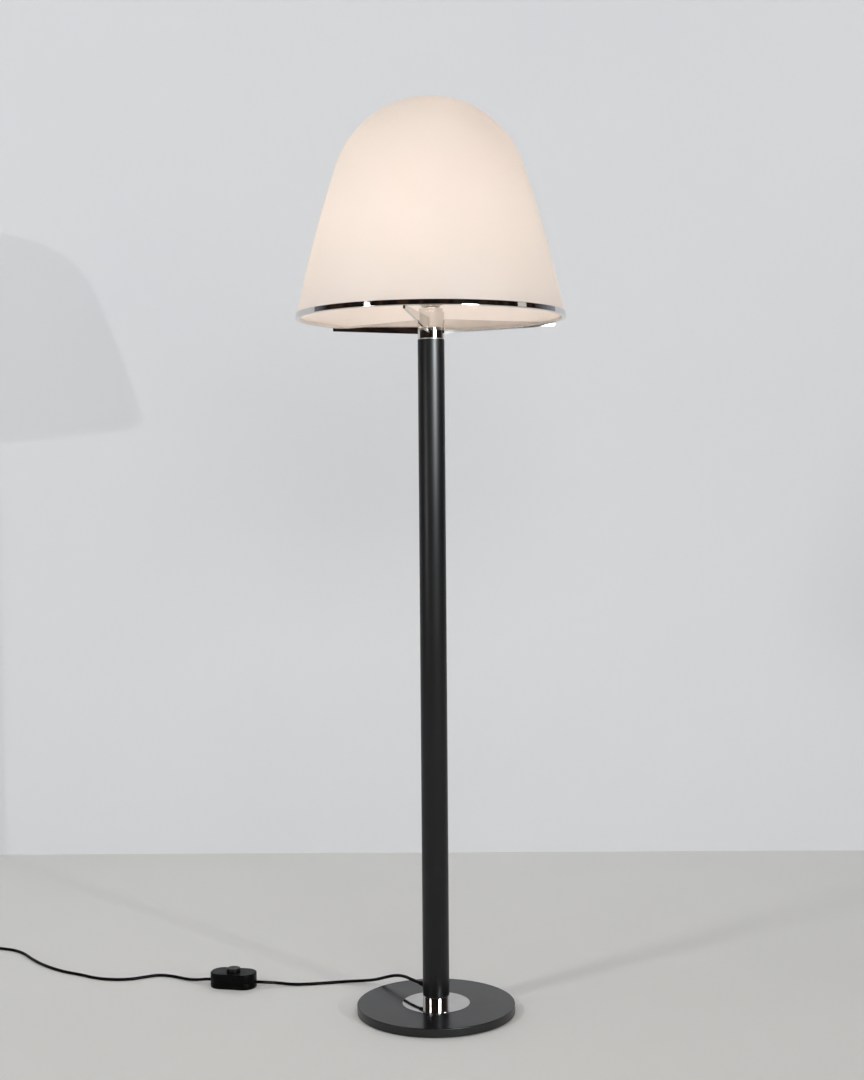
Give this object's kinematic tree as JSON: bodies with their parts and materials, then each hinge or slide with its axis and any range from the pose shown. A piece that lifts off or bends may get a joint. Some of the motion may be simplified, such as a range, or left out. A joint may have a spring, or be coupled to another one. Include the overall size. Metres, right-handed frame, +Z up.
{
  "type": "floor lamp",
  "caption": "Mushroom floor lamp with a domed opal shade resting on arms over a slim pole, a round weighted base and a cord with a foot switch.",
  "frame": {"origin": "on the floor, on the pole's axis, at the underside of the base's felt ring", "axes": "+Z up along the pole; -Y is the lamp's front; the cord leaves towards -X and +Y"},
  "size_m": [1.3186, 0.7024, 1.7098],
  "materials": {
    "felt": "pressed felt",
    "lacquer": "high-gloss lacquer",
    "chrome": "polished chrome plating",
    "steel": "zinc-plated steel",
    "core": "turned, satin",
    "opal": "opal acrylic, semi-gloss",
    "holder": "moulded phenolic, semi-gloss",
    "porcelain": "glazed porcelain",
    "brass": "plain stamped brass",
    "bulb_shell": "rolled, bright",
    "bulb_base": "vitrified insulator",
    "bulb_glass": "frosted inside",
    "cord": "round flexible cord, satin",
    "moulded_black": "moulded, fine satin",
    "button": "moulded, satin",
    "wire_sleeve": "insulated wire"
  },
  "bodies": {
    "lamp": {"base_felt": "felt", "base_plate": "lacquer", "base_disc": "chrome", "base_collar": "chrome", "base_washer": "steel", "base_nut": "steel", "tie_rod": "steel", "pole_tube": "lacquer", "cord_gland": "moulded_black", "inner_cable": "cord", "hub_core": "core", "hub_tube": "chrome", "hub_washer": "steel", "hub_nut": "steel", "arm_right": "chrome", "arm_left": "chrome", "arm_front": "chrome", "arm_clamp_plate": "steel", "clamp_screws": "steel", "hub_cap": "chrome", "holder_nipple": "steel", "holder_cap": "chrome", "holder_locknut": "steel", "holder_insert": "porcelain", "holder_contact": "brass", "holder_thread": "brass", "holder_skirt": "holder", "holder_wires": "wire_sleeve", "switch_base": "moulded_black", "switch_cover": "moulded_black", "switch_screws": "steel", "switch_block": "moulded_black", "switch_spring": "steel", "plug_body": "moulded_black", "plug_pins": "brass", "cord_to_switch": "cord", "cord_to_coil": "cord", "cord_coil": "cord", "cord_to_plug": "cord", "cord_tie": "cord"},
    "shade": {"shade_dome": "opal", "rim_ring": "chrome"},
    "bulb": {"bulb_contact": "brass", "bulb_insulator": "bulb_base", "bulb_cap": "bulb_shell", "bulb_glass": "bulb_glass"},
    "button": {"switch_button": "button"}
  },
  "joints": [
    {"name": "shade_lift", "type": "slide", "parent": "lamp", "child": "shade", "axis": [0, 0, 1], "range_m": [0, 0.2]},
    {"name": "bulb_draw", "type": "slide", "parent": "lamp", "child": "bulb", "axis": [0, 0, 1], "range_m": [0, 0.05]},
    {"name": "button_press", "type": "slide", "parent": "lamp", "child": "button", "axis": [0, 0, -1], "range_m": [0, 0.0035], "stiffness_N_per_m": 1200, "springref_m": -0.003, "deforming": ["switch_spring"]}
  ]
}
